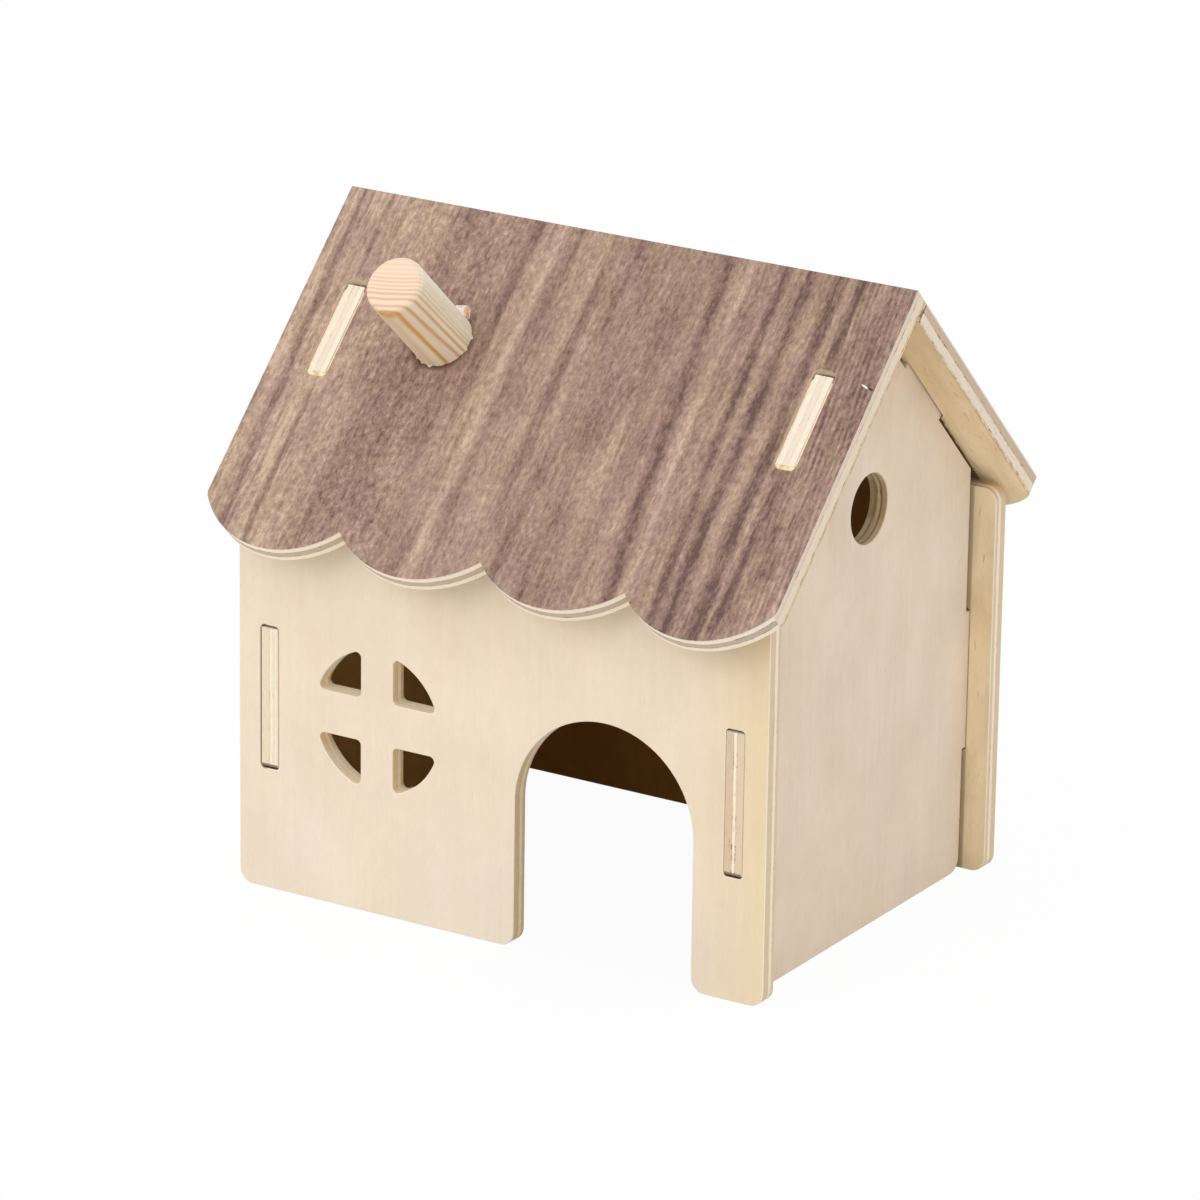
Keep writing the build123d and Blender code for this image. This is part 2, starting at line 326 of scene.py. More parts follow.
# Hole edge tints: painted light round the front door and windows, painted shade and yellowing in the round
# hole
front_holes_and_light = ((0, 0, 0), (1 / 48, 0, 0), (1.17, 1.16, 1.08, 1))
vent_and_shade = ((0, 0, vent_height), (0, 1 / (vent_radius + 1), 1 / (vent_radius + 1)), (0.78, 0.7, 0.55, 1))
box_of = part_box


def gap_shade_marks(tree, sheet, spot, faces, sawn):
    """A thin brown line of painted shade down the inner face, where each side wall's outer face meets it."""
    aside = sums(tree, "ABSOLUTE", spot[0])
    line = fade(tree, aside, side_face + 0.05, side_face + 0.45, 0.4, 0)
    line = sums(tree, "MULTIPLY", line, fade(tree, aside, side_face - 2.8, side_face - 0.8))
    depth = lay(tree, "SeparateXYZ", {0: sheet["Place"]}).outputs[2]
    return stain(tree, sums(tree, "MULTIPLY", line, fade(tree, depth, 3.0, 3.5)), faces, gap_shade_brown), sawn


def front_marks(tree, sheet, spot, faces, sawn):
    """The slots' walls are darker inside, and a brown line of painted shade runs down the rim of the left
    one. The face is a little pinker towards the floor, and has a little painted shade under the eave."""
    faces, sawn = gap_shade_marks(tree, sheet, spot, faces, sawn)
    aside = sums(tree, "ABSOLUTE", sums(tree, "SUBTRACT", sums(tree, "ABSOLUTE", spot[0]), slot_aside))
    sawn = stain(tree, fade(tree, aside, slot_half + 0.22, slot_half + 0.42, 0.8, 0), sawn, scorch_and_shade)
    left = sums(tree, "ADD", spot[0], slot_aside)
    up = sums(tree, "SUBTRACT", spot[2], slot_height)
    faces = shade(tree, faces, stain(tree, fade(tree, up, -35, 0, 1, 0), no_tint, (1, 1.03, 1.07, 1)))
    # Painted shade under the eave
    faces = shade(tree, faces, fade(tree, up, 8, 34, 1, 0.96))
    # Painted shade in a brown line down the left side of the left slot's rim
    rim = past_slot(tree, left, up, slot_half, slot_reach, 1.0)
    rim_shade = sums(tree, "MULTIPLY", fade(tree, rim, 0.0, 0.34, 0.8, 0), fade(tree, left, -1.5, 0, 1, 0))
    return stain(tree, rim_shade, faces, scorch_and_shade), sawn


def side_marks(tree, sheet, spot, faces, sawn):
    """Two rings round the inside of the round hole are burnt by the drill, and the lowest corner of each
    upright tab is darker."""
    tab_foot = fade(tree, spot[2], tab_low_end + 0.3, tab_low_end + 0.65, 0.85, 0)
    on_tab = fade(tree, sums(tree, "ABSOLUTE", spot[1]), 41, 42)
    sawn = stain(tree, sums(tree, "MULTIPLY", tab_foot, on_tab), sawn, scorch_and_shade)
    depth = lay(tree, "SeparateXYZ", {0: sheet["Place"]}).outputs[2]
    from_middle = lay(tree, "CombineXYZ", {1: spot[1], 2: sums(tree, "SUBTRACT", spot[2], vent_height)})
    reached = vectors(tree, "LENGTH", from_middle.outputs[0])
    in_hole = fade(tree, reached, vent_radius + 0.3, vent_radius + 0.6, 1, 0)
    for middle, half_width, strength in ((1.3, 0.3, 0.6), (2.7, 0.5, 0.4)):
        away = sums(tree, "ABSOLUTE", sums(tree, "SUBTRACT", depth, middle))
        ring = fade(tree, away, 0.2 * half_width, half_width, strength, 0)
        sawn = stain(tree, sums(tree, "MULTIPLY", ring, in_hole), sawn, scorch_and_shade)
    return faces, sawn


ply_sheet(
    "front_wall",
    face_point=(0, box_of("front_wall")[0].y, 0),
    inward=(0, 1, 0),
    seed=(3, 7, 1),
    show=front_show,
    room=room_shade_brown,
    cuts=(wall_cut, ledge_cut),
    bevel=arris_highlight,
    opening=front_holes_and_light,
    marks=front_marks,
    aged=(38, 62),
)
ply_sheet(
    "back_wall",
    face_point=(0, box_of("back_wall")[1].y, 0),
    inward=(0, -1, 0),
    seed=(41, 3, 9),
    show=side_show,
    room=room_shade_brown,
    cuts=(wall_cut, wall_cut),
    bevel=arris_highlight,
    opening=no_hole,
    marks=gap_shade_marks,
)
for node, face_side, inward_x, seed, upright_cut in (
    ("right_side_wall", 1, -1, (17, 29, 5), right_cut),
    ("left_side_wall", 0, 1, (67, 11, 23), left_cut),
):
    ply_sheet(
        node,
        face_point=(box_of(node)[face_side].x, 0, 0),
        inward=(inward_x, 0, 0),
        seed=seed,
        show=side_show,
        room=room_shade_tan,
        cuts=(upright_cut, tab_cut),
        bevel=dull,
        opening=vent_and_shade,
        marks=side_marks,
    )

# Roof boards, under the walnut: ply again, with the grain down the slope, and scalloped along the eave.
# The front board laps over the end of the back one. Both are pushed onto the side walls' slope tabs.
front_end = saw_cut((236, 217, 197), (243, 225, 202), (238, 214, 180), (150, 112, 80), (1.2, 3.4), 1.2)
back_end = saw_cut((214, 188, 162), (243, 226, 206), (244, 226, 208), (128, 98, 76), (1.65, 3.6), 1.5)
eave_cut = saw_cut((254, 243, 222), (204, 184, 164), (252, 240, 216), (140, 116, 98), (1.3, 2.75), 1.2)
amber = colour(190, 142, 84)
ridge_butt_top = 128.2  # the back board's top end lies below this height, and the front board's above it
slope_tab_top, slope_tab_low = 17.5, 39.5  # where a tab comes up, down the slope from the board's top


def board_marks(tree, sheet, spot, faces, sawn):
    """An amber line broken along the lower rim of each end, and brown painted shade over the side walls: in
    the gap below their tabs, by the ridge, and in the corner over the back wall."""
    at = lay(tree, "SeparateXYZ", {0: sheet["Place"]}).outputs
    ragged = figure(tree, sheet["Place"], (0.5, 0.5, 0.2), (4, 9, 2), 4, 0.65)
    low = fade(tree, sums(tree, "MULTIPLY_ADD", ragged, 0.8, at[2]), 3.65, 3.95)
    low = sums(tree, "MULTIPLY", low, fade(tree, ragged, -0.14, 0.1, 0.3, 0.9))
    ends = sums(tree, "SUBTRACT", 1.0, sheet["Cross Cut"])
    sawn = stain(tree, sums(tree, "MULTIPLY", low, ends), sawn, amber)
    # Painted shade on the back board's top end, by the ridge
    ridge_shade = fade(tree, sums(tree, "MULTIPLY_ADD", ragged, 0.8, at[1]), 0.3, 0.9, 0.85, 0)
    ridge_shade = sums(tree, "MULTIPLY", ridge_shade, fade(tree, spot[2], ridge_butt_top - 0.3, ridge_butt_top, 1, 0))
    sawn = stain(tree, sums(tree, "MULTIPLY", ridge_shade, ends), sawn, gap_shade_brown)
    across = sums(tree, "MULTIPLY_ADD", ragged, 1.4, sums(tree, "ABSOLUTE", at[0]))
    over_wall = sums(tree, "MULTIPLY", fade(tree, across, 50, 51), fade(tree, across, 53.8, 54.5, 0.9, 0))
    above_tab = fade(tree, at[1], slope_tab_top, slope_tab_top + 1.3, 1, 0)
    clear_of_tab = sums(tree, "MAXIMUM", above_tab, fade(tree, at[1], slope_tab_low - 2.5, slope_tab_low))
    corner = sums(tree, "MULTIPLY", fade(tree, at[1], 55, 60), fade(tree, across, 53.5, 59.5, 0.35, 0))
    # Painted shade in the gap below each tab and in the corner over the back wall
    board_gap_shade = sums(tree, "MAXIMUM", sums(tree, "MULTIPLY", over_wall, clear_of_tab), corner)
    board_gap_shade = sums(tree, "MULTIPLY", board_gap_shade, fade(tree, at[2], 1.5, 2.5))
    return stain(tree, board_gap_shade, faces, gap_shade_brown), sawn


for node, side, end_cut in (("front_roof_panel", -1, front_end), ("back_roof_panel", 1, back_end)):
    low, high = box_of(node.replace("panel", "veneer"))
    ply_sheet(
        node,
        face_point=(0, high.y if side < 0 else low.y, high.z),
        inward=(0, -side * slope, -slope),
        seed=(5 + side, 13, 2),
        show=(back_face, back_fleck, 1.0),
        room=back_face,
        cuts=(end_cut, eave_cut),
        bevel=colour(214, 176, 126),
        opening=no_hole,
        marks=board_marks,
        grain=(0, side * slope, -slope),
    )

# Walnut faces of the roof: a thin sliced sheet glued over each board, its grain down the slope. Dark
# purple-brown lines and pale tan ones run the full length between clouds of short, fine pores.
walnut, takes, gives = new_group(
    "Walnut",
    {"Place": "Vector", "Seed": "Vector", "Streaks": "Float", "Fine Lines": "Float", "Mottle": "Float"},
    {"Tone": "Float", "Colour": "Color", "Height": "Float"},
)
bands = figure(walnut, takes["Place"], (0.11, 0.015, 0.1), takes["Seed"], 2)
lines = figure(walnut, takes["Place"], (0.42, 0.03, 0.1), takes["Seed"], 3, 0.6)
threads = figure(walnut, takes["Place"], (1.2, 0.12, 0.1), takes["Seed"], 3, 0.6)
dashes = figure(walnut, takes["Place"], (1.2, 0.62, 0.1), takes["Seed"], 2, 0.6)
pores = figure(walnut, takes["Place"], (3.0, 1.3, 0.1), takes["Seed"], 2, 0.7)
clouds = figure(walnut, takes["Place"], (0.16, 0.09, 0.1), takes["Seed"], 4, 0.65)
mottle = figure(walnut, takes["Place"], (0.85, 0.6, 0.1), takes["Seed"], 3, 0.7)
tone = sums(walnut, "MULTIPLY_ADD", bands, 0.5, 0.54)
tone = sums(walnut, "MULTIPLY_ADD", lines, 0.62, tone)
tone = sums(walnut, "MULTIPLY_ADD", sums(walnut, "MULTIPLY", threads, takes["Fine Lines"]), 0.75, tone)
tone = sums(walnut, "MULTIPLY_ADD", dashes, 1.0, tone)
tone = sums(walnut, "MULTIPLY_ADD", pores, 0.55, tone)
tone = sums(walnut, "MULTIPLY_ADD", clouds, 0.66, tone)
tone = sums(walnut, "MULTIPLY_ADD", mottle, takes["Mottle"], tone)
slits = figure(walnut, takes["Place"], (0.75, 0.1, 0.1), takes["Seed"], 4, 0.7)
tone = sums(walnut, "ADD", fade(walnut, slits, 0.1, 0.22, 0, -0.28), tone)
specks = figure(walnut, takes["Place"], (2.0, 1.4, 0.1), takes["Seed"], 1)
tone = sums(walnut, "ADD", fade(walnut, specks, 0.2, 0.3, 0, 0.3), tone)
tone = sums(walnut, "ADD", tone, takes["Streaks"], clamp=True)
tinge = fade(walnut, figure(walnut, takes["Place"], (0.2, 0.05, 0.1), takes["Seed"], 4, 0.6), -0.12, 0.14)
tinge = stain(walnut, tinge, (1.0, 0.985, 1.01, 1), (1.0, 1.015, 0.96, 1))
tints = lay(walnut, "ValToRGB", {0: tone})
shades = {
    0.0: colour(104, 78, 71),
    0.22: colour(134, 105, 94),
    0.42: colour(153, 124, 109),
    0.58: colour(168, 139, 122),
    0.78: colour(185, 156, 136),
    1.0: colour(208, 180, 157),
}
ramp = tints.color_ramp.elements
for spot, tint in list(shades.items())[1:-1]:
    ramp.new(spot).color = tint
ramp[0].color, ramp[-1].color = shades[0.0], shades[1.0]
walnut.links.new(tone, gives["Tone"])
walnut.links.new(shade(walnut, tints.outputs[0], tinge), gives["Colour"])
walnut.links.new(sums(walnut, "MULTIPLY_ADD", threads, 0.6, pores), gives["Height"])

# Main streaks of the front sheet, left to right: millimetres from the middle at the ridge, drift to the
# right per millimetre down the slope, half width, how light or dark, where it is strongest and its reach
main_streaks = (
    (-62.0, 0.0, 1.6, 0.2, 40, 130),
    (-60.6, 0.034, 0.8, -0.36, 35, 90),
    (-57.6, 0.0, 3.4, 0.12, 24, 60),
    (-51.5, 0.0, 6.5, 0.15, 45, 130),
    (-54.3, 0.01, 1.3, 0.16, 62, 34),
    (-53.9, 0.0, 0.7, -0.24, 5, 18),
    (-52.4, 0.01, 0.7, -0.36, 70, 36),
    (-42.6, 0.0, 1.2, 0.1, 46, 18),
    (-40.5, 0.0, 2.4, 0.14, 6, 20),
    (-40.0, 0.0, 1.4, -0.12, 66, 18),
    (-34.4, 0.0, 1.2, 0.14, 45, 16),
    (-27.0, 0.0, 3.0, 0.13, 66, 18),
    (-16.9, 0.0, 1.0, 0.13, 20, 44),
    (-46.5, 0.0, 2.0, 0.12, 45, 60),
    (-36.5, 0.0, 2.6, -0.12, 8, 22),
    (-31.5, 0.0, 7.0, -0.22, 50, 34),
    (-19.6, 0.0, 1.1, -0.34, 14, 36),
    (-14.2, 0.0, 1.1, 0.3, 40, 110),
    (-11.2, 0.0, 0.9, -0.12, 45, 60),
    (-10.1, 0.0, 0.8, -0.24, 8, 20),
    (-5.6, 0.0, 1.7, 0.14, 56, 30),
    (-1.5, 0.0, 1.1, -0.28, 28, 44),
    (3.4, 0.0, 0.7, -0.28, 4, 22),
    (3.6, 0.0, 1.0, -0.32, 62, 22),
    (11.5, 0.0, 4.0, -0.09, 18, 40),
    (9.5, 0.0, 2.6, -0.16, 68, 14),
    (16.0, 0.0, 1.4, 0.1, 52, 22),
    (20.5, 0.02, 4.0, -0.12, 20, 40),
    (22.9, 0.082, 1.2, -0.36, 35, 90),
    (27.9, 0.055, 0.9, 0.26, 35, 60),
    (35.3, 0.055, 0.9, -0.42, 35, 90),
    (40.7, 0.03, 0.9, -0.42, 35, 90),
    (43.4, 0.03, 0.9, 0.14, 40, 60),
    (47.2, 0.03, 1.2, -0.36, 35, 90),
    (48.0, 0.02, 7.0, -0.1, 40, 130),
    (49.8, 0.02, 0.8, 0.2, 30, 80),
    (52.5, 0.01, 0.9, -0.34, 6, 22),
    (52.9, 0.0, 0.9, -0.34, 62, 24),
    (59.0, 0.0, 4.0, -0.16, 10, 34),
)
# The slot rim tan is painted light; the slit brown also gives the painted shadow by the chimney's foot
torn_wood, slot_rim_light, slit_and_foot_shadow = colour(255, 246, 234), colour(200, 168, 138), colour(70, 44, 32)
roof_slot_half, roof_slot_reach, roof_slot_corner = 2.34, 10.8, 1.34  # half width, half length, corner
roof_slot_shift = 0.18  # the rims of painted light lie this far to the left of the tabs' middle
foot_shadow_middle = (-29.4, 29.5, 0)  # painted shadow's middle by the chimney's foot, across and down from the ridge


def walnut_sheet(node, face_point, inward, grain, seed, streaks, slot_middle, nicked):
    """Dresses one walnut face: its own main streaks, close stripes by its right end, a tan rim of painted
    light round its slots, whose middle is slot_middle mm below the ridge, and on the nicked sheet a nick
    by its right end and a painted shadow round the chimney's foot."""
    material = bpy.data.materials.new(node + "_walnut")
    material.use_nodes = True
    tree = material.node_tree
    wood = tree.nodes["Principled BSDF"]
    sheet = place_group(tree, sheet_place, {"Face Point": face_point, "Inward": inward, "Grain": grain})
    waver = figure(tree, sheet["Place"], (0.02, 0.02, 0.1), seed, 2)
    quiver = figure(tree, sheet["Place"], (0.2, 0.09, 0.1), seed, 3)
    at = lay(tree, "SeparateXYZ", {0: sheet["Place"]}).outputs
    across = sums(tree, "MULTIPLY_ADD", waver, 2.0, sums(tree, "MULTIPLY_ADD", quiver, 0.8, at[0]))
    total = 0.0
    for start, drift, half_width, strength, middle, reach in streaks:
        line = sums(tree, "MULTIPLY_ADD", at[1], drift, start)
        away = sums(tree, "ABSOLUTE", sums(tree, "SUBTRACT", across, line))
        near = fade(tree, away, 0, 2.0 * half_width, strength, 0)
        along = sums(tree, "ABSOLUTE", sums(tree, "SUBTRACT", at[1], middle))
        near = sums(tree, "MULTIPLY", near, fade(tree, along, 0.4 * reach, reach, 1, 0))
        total = sums(tree, "ADD", near, total)
    leaning = sums(tree, "MULTIPLY_ADD", at[1], -0.085, across)
    stripes = sums(tree, "SINE", sums(tree, "MULTIPLY", leaning, 5.6))
    close = fade(tree, leaning, 48, 52, 0, 0.09)
    total = sums(tree, "MULTIPLY_ADD", stripes, close, total)
    figured = lay(tree, "CombineXYZ", {0: across, 1: at[1], 2: at[2]}).outputs[0]
    fine = sums(tree, "MAXIMUM", fade(tree, at[0], 44, 54, 0.8, 1.5), fade(tree, at[0], -50, -42, 1.4, 0.8))
    mottled = fade(tree, at[0], -52, -44, 0.35, 1)
    mottled = sums(tree, "MULTIPLY", fade(tree, at[0], -26, -18, 1.1, 0), mottled)
    sockets = {"Place": figured, "Seed": seed, "Streaks": total, "Fine Lines": fine, "Mottle": mottled}
    face = place_group(tree, walnut, sockets)
    sanded = stain(tree, sums(tree, "MULTIPLY", sheet["Cut Edge"], 0.7), face["Colour"], torn_wood)
    # A ragged tan rim of painted light round each slot
    ragged = figure(tree, sheet["Place"], (0.9, 0.5, 0.1), seed, 3)
    aside = sums(tree, "ABSOLUTE", sums(tree, "ADD", at[0], roof_slot_shift))
    aside = sums(tree, "SUBTRACT", aside, slot_aside)
    below = sums(tree, "SUBTRACT", at[1], slot_middle)
    rim = past_slot(tree, aside, below, roof_slot_half, roof_slot_reach, roof_slot_corner)
    rim = sums(tree, "MULTIPLY_ADD", ragged, 0.5, rim)
    sanded = stain(tree, fade(tree, rim, 0.0, 0.34, 0.65, 0), sanded, slot_rim_light)
    if nicked:
        # A nick near the right edge: a torn white dash and the dark slit beside it
        white_dash, dark_dash = (61.8, 21.9, (1.2, 0.24), torn_wood), (63.1, 22.2, (0.9, 0.3), slit_and_foot_shadow)
        for middle_x, middle_y, size, tint in (white_dash, dark_dash):
            offset = vectors(tree, "SUBTRACT", sheet["Place"], (middle_x, middle_y, 0))
            long_way = sums(tree, "DIVIDE", vectors(tree, "DOT_PRODUCT", offset, (0.93, 0.37, 0)), size[0])
            short_way = sums(tree, "DIVIDE", vectors(tree, "DOT_PRODUCT", offset, (-0.37, 0.93, 0)), size[1])
            spread = lay(tree, "CombineXYZ", {0: long_way, 1: short_way}).outputs[0]
            mark = fade(tree, vectors(tree, "LENGTH", spread), 0.5, 1.0, 1, 0)
            sanded = stain(tree, mark, sanded, tint)
        # A painted contact shadow darkens the walnut close round the lower side of the chimney's foot
        offset = vectors(tree, "SUBTRACT", sheet["Place"], foot_shadow_middle)
        ring = fade(tree, vectors(tree, "LENGTH", offset), 5.6, 7.4, 0.8, 0)
        sanded = stain(tree, ring, sanded, slit_and_foot_shadow)
    tree.links.new(sanded, wood.inputs["Base Color"])
    relief = lay(tree, "Bump", {"Strength": 0.4, "Distance": 0.00008, "Height": face["Height"]})
    tree.links.new(relief.outputs[0], wood.inputs["Normal"])
    tree.links.new(fade(tree, face["Tone"], 0, 1, 0.62, 0.5), wood.inputs["Roughness"])
    wood.inputs["Specular IOR Level"].default_value = 0.3
    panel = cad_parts[node]
    panel.data.materials.clear()
    panel.data.materials.append(material)


for node, side, seed, streaks, slot_middle in (
    ("front_roof_veneer", -1, (8, 21, 0), main_streaks, 31.0),
    ("back_roof_veneer", 1, (31, 57, 4), main_streaks[::3], 28.1),
):
    low, high = box_of(node)
    ridge_point = (0, high.y if side < 0 else low.y, high.z)
    inward, down = (0, -side * slope, -slope), (0, side * slope, -slope)
    walnut_sheet(node, ridge_point, inward, down, seed, streaks, slot_middle, side < 0)

# Chimney: a length of pine dowel glued by its sawn foot to the walnut face, leaning a little down the
# slope. Its free rim is sanded round, its foot is ragged, and a chip of it has torn off beside the foot.
lean = radians(45 + 3.7)
dowel_axis = Vector((0, -sin(lean), cos(lean)))
roof_out = Vector((0, -slope, slope))
down_roof = Vector((0, -slope, -slope))
dowel_foot = Vector((-29.1, -20.4, 110.752)) * mm
dowel_length, dowel_radius, dowel_rim = 23.2 * mm, 6 * mm, 1.2 * mm
dowel_stock = 30 * mm  # sawn off along the roof, so longer than what stands
dowel_end = dowel_foot + dowel_axis * dowel_length
# The year rings lie across the end as bands: which way each band runs, and which way they follow each other
ring_side = Vector((-0.9794, -0.1332, -0.1516))
ring_down = Vector((0.2018, -0.6464, -0.7358))


def pick(piece, wanted):
    """Selects the vertices whose place passes the test, in edit mode."""
    mesh = bmesh.from_edit_mesh(piece.data)
    mesh.select_mode = {"VERT"}
    for vertex in mesh.verts:
        vertex.select = wanted(vertex.co)
    mesh.select_flush_mode()
    bmesh.update_edit_mesh(piece.data)


bpy.ops.object.select_all(action="DESELECT")
bpy.ops.mesh.primitive_cylinder_add(
    vertices=96,
    radius=dowel_radius,
    depth=dowel_stock,
    location=dowel_end - dowel_axis * dowel_stock / 2,
    rotation=(lean, 0, 0),
)
dowel = bpy.context.object
dowel.name = "chimney_pine_dowel"
bpy.ops.object.transform_apply(location=True, rotation=True, scale=True)
bpy.ops.object.mode_set(mode="EDIT")
pick(dowel, lambda at: (at - dowel_end).dot(dowel_axis) > -0.01 * mm)
bpy.ops.mesh.bevel(offset=dowel_rim, segments=6, affect="EDGES")
# Rows of points just above and below the foot, for the saw's tear; all below the lowest row goes
rows = (-0.8, -0.4, 0.0, 0.3, 0.8)
for row in rows:
    bpy.ops.mesh.select_all(action="SELECT")
    row_point = dowel_foot + roof_out * row * mm
    bpy.ops.mesh.bisect(plane_co=row_point, plane_no=roof_out, clear_inner=row == rows[0])
pick(dowel, lambda at: (at - dowel_foot).dot(roof_out) < 0.1 * mm)
bpy.ops.transform.vertex_random(offset=0.07 * mm, normal=1.0, seed=4)
# Splinters of the torn foot: turn about the foot from straight down the roof, and how far each sticks out
splinters = (
    (-34, 0.35),
    (-26, 0.15),
    (-19, 0.4),
    (-11, 0.2),
    (-3, 0.4),
    (78, 0.25),
    (104, 0.35),
    (-140, 0.3),
)
splinter_width = 0.34 * mm
for turn, reach in splinters:
    outward = Matrix.Rotation(radians(turn), 3, roof_out) @ down_roof
    spot = dowel_foot + outward * dowel_radius
    pick(dowel, lambda at: (at - spot).length < splinter_width)
    bpy.ops.transform.translate(value=outward * reach * mm)
bpy.ops.mesh.select_all(action="SELECT")
bpy.ops.mesh.bisect(plane_co=dowel_foot, plane_no=roof_out, clear_inner=True, use_fill=True)
bpy.ops.object.mode_set(mode="OBJECT")
bpy.ops.object.shade_smooth_by_angle(angle=radians(35))

# Late wood of each year's ring: millimetres from the dowel's middle, drift per millimetre towards the
# foot, half width, and how strong it shows on the end and along the side
year_rings = (
    (5.74, -0.014, 0.17, 0.8, 1.0),
    (4.76, -0.038, 0.26, 0.6, 0.8),
    (3.3, -0.022, 0.26, 0.6, 0.8),
    (2.19, -0.024, 0.24, 0.6, 0.6),
    (1.28, -0.015, 0.16, 0.55, 0.45),
    (0.5, -0.012, 0.14, 0.4, 0.3),
    (-0.35, 0.0, 0.15, 0.45, 0.2),
    (-1.1, 0.0, 0.16, 0.4, 0.25),
    (-2.0, 0.0, 0.15, 0.25, 0.15),
    (-3.0, 0.0, 0.15, 0.15, 0.2),
    (-4.1, 0.0, 0.17, 0.2, 0.2),
    (-5.1, 0.0, 0.15, 0.12, 0.3),
)
pine = bpy.data.materials.new("chimney_pine")
pine.use_nodes = True
tree = pine.node_tree
wood = tree.nodes["Principled BSDF"]
here = tree.nodes.new("ShaderNodeTexCoord").outputs
from_end = vectors(tree, "SUBTRACT", here["Object"], dowel_end)
from_end = vectors(tree, "MULTIPLY", from_end, in_millimetres)
along = vectors(tree, "DOT_PRODUCT", from_end, -dowel_axis)
sideways = vectors(tree, "DOT_PRODUCT", from_end, ring_side)
across = vectors(tree, "DOT_PRODUCT", from_end, (ring_down + ring_side * 0.064).normalized())
place = lay(tree, "CombineXYZ", {0: sideways, 1: along, 2: across}).outputs[0]
bow = sums(tree, "MULTIPLY", sums(tree, "MULTIPLY", sideways, sideways), 0.008)
waver = figure(tree, place, (0.25, 0.06, 0.25), (5, 2, 8), 3)
across = sums(tree, "ADD", sums(tree, "MULTIPLY_ADD", waver, 0.25, across), bow)
on_end = fade(tree, vectors(tree, "DOT_PRODUCT", here["Normal"], dowel_axis), 0.35, 0.85)
late = 0.0
for middle, drift, half_width, end_strength, side_strength in year_rings:
    away = sums(tree, "SUBTRACT", across, sums(tree, "MULTIPLY_ADD", along, drift, middle))
    near = fade(tree, sums(tree, "ABSOLUTE", away), 0, 1.7 * half_width, 1, 0)
    strength = fade(tree, on_end, 0, 1, side_strength, end_strength)
    late = sums(tree, "MULTIPLY_ADD", near, strength, late)
# The outermost ring runs down the right of the side only, and shows as a patch below the rim on the left
left_flank = sums(tree, "MULTIPLY", fade(tree, sideways, 0, 1.5), fade(tree, along, 1.5, 4.5))
left_flank = sums(tree, "MULTIPLY", left_flank, fade(tree, across, 1.5, 3.5, 0.25, 1))
late = sums(tree, "MULTIPLY", late, sums(tree, "SUBTRACT", 1.0, left_flank))
patch = sums(tree, "MULTIPLY", fade(tree, along, 1.6, 3.4, 0.8, 0), fade(tree, across, 5.4, 5.65))
late = sums(tree, "MAXIMUM", late, patch, clamp=True)
cloud = fade(tree, figure(tree, place, (0.2, 0.06, 0.2), (1, 6, 3), 3), -0.15, 0.2)
side_wood = stain(tree, cloud, colour(255, 243, 218), colour(246, 230, 204))
# Painted light and shade on the side: lighter towards its upper side, darker towards its lower side
side_wood = stain(tree, fade(tree, across, -3.5, 1.0, 0.9, 0), side_wood, colour(255, 252, 238))
side_wood = stain(tree, fade(tree, across, 3.5, 5.5, 0, 0.5), side_wood, colour(236, 214, 182))
side_wood = stain(tree, fade(tree, sideways, -1.0, 0.8), side_wood, colour(227, 201, 168))
side_wood = stain(tree, late, side_wood, colour(218, 162, 94))
end_wood = stain(tree, late, colour(249, 220, 193), colour(206, 152, 124))
bare = stain(tree, on_end, side_wood, end_wood)
fibres = figure(tree, place, (3.0, 0.12, 3.0), (9, 4, 2), 3, 0.6)
grainy = sums(tree, "MULTIPLY_ADD", fibres, 0.14, 1.0)
tree.links.new(shade(tree, bare, grainy), wood.inputs["Base Color"])
height = sums(tree, "MULTIPLY_ADD", late, 0.3, fibres)
relief = lay(tree, "Bump", {"Strength": 0.4, "Distance": 0.0001, "Height": height})
tree.links.new(relief.outputs[0], wood.inputs["Normal"])
tree.links.new(fade(tree, late, 0, 1, 0.62, 0.5), wood.inputs["Roughness"])
wood.inputs["Specular IOR Level"].default_value = 0.25
dowel.data.materials.append(pine)
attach(dowel, "root")
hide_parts("chimney_dowel")

# The torn chip: a crumb of the same pine, broken off the rim of the foot when the dowel was sawn. It stands
# in the glue against the upper side of the foot, turned as the dowel's grain is.
chip_size = Vector((2.9, 2.5, 2.6)) * mm
chip_middle = dowel_foot + Vector((1.9, 0, 0)) * mm - down_roof * 5.9 * mm + roof_out * 0.4 * mm
chip_turn = Matrix((-ring_side, -ring_down, dowel_axis)).transposed().to_euler()
bpy.ops.object.select_all(action="DESELECT")
bpy.ops.mesh.primitive_cube_add(size=1, location=chip_middle, rotation=chip_turn)
chip = bpy.context.object
chip.name = "chimney_torn_chip"
chip.scale = chip_size
bpy.ops.object.transform_apply(location=True, rotation=True, scale=True)
bpy.ops.object.mode_set(mode="EDIT")
bpy.ops.mesh.bevel(offset=0.35 * mm, segments=2, affect="EDGES")
bpy.ops.mesh.subdivide(number_cuts=2)
bpy.ops.transform.vertex_random(offset=0.1 * mm, normal=0.6, seed=11)
bpy.ops.mesh.select_all(action="SELECT")
bpy.ops.mesh.bisect(plane_co=dowel_foot, plane_no=roof_out, clear_inner=True, use_fill=True)
bpy.ops.mesh.normals_make_consistent(inside=False)
bpy.ops.object.mode_set(mode="OBJECT")
torn = bpy.data.materials.new("chimney_torn_pine")
torn.use_nodes = True
tree = torn.node_tree
wood = tree.nodes["Principled BSDF"]
here = tree.nodes.new("ShaderNodeTexCoord").outputs
place = vectors(tree, "MULTIPLY", here["Object"], in_millimetres)
patch = fade(tree, figure(tree, place, (0.5, 0.5, 0.5), (7, 7, 1), 2), 0.0, 0.12)
speckle = figure(tree, place, (2.5, 2.5, 2.5), (2, 5, 5), 2)
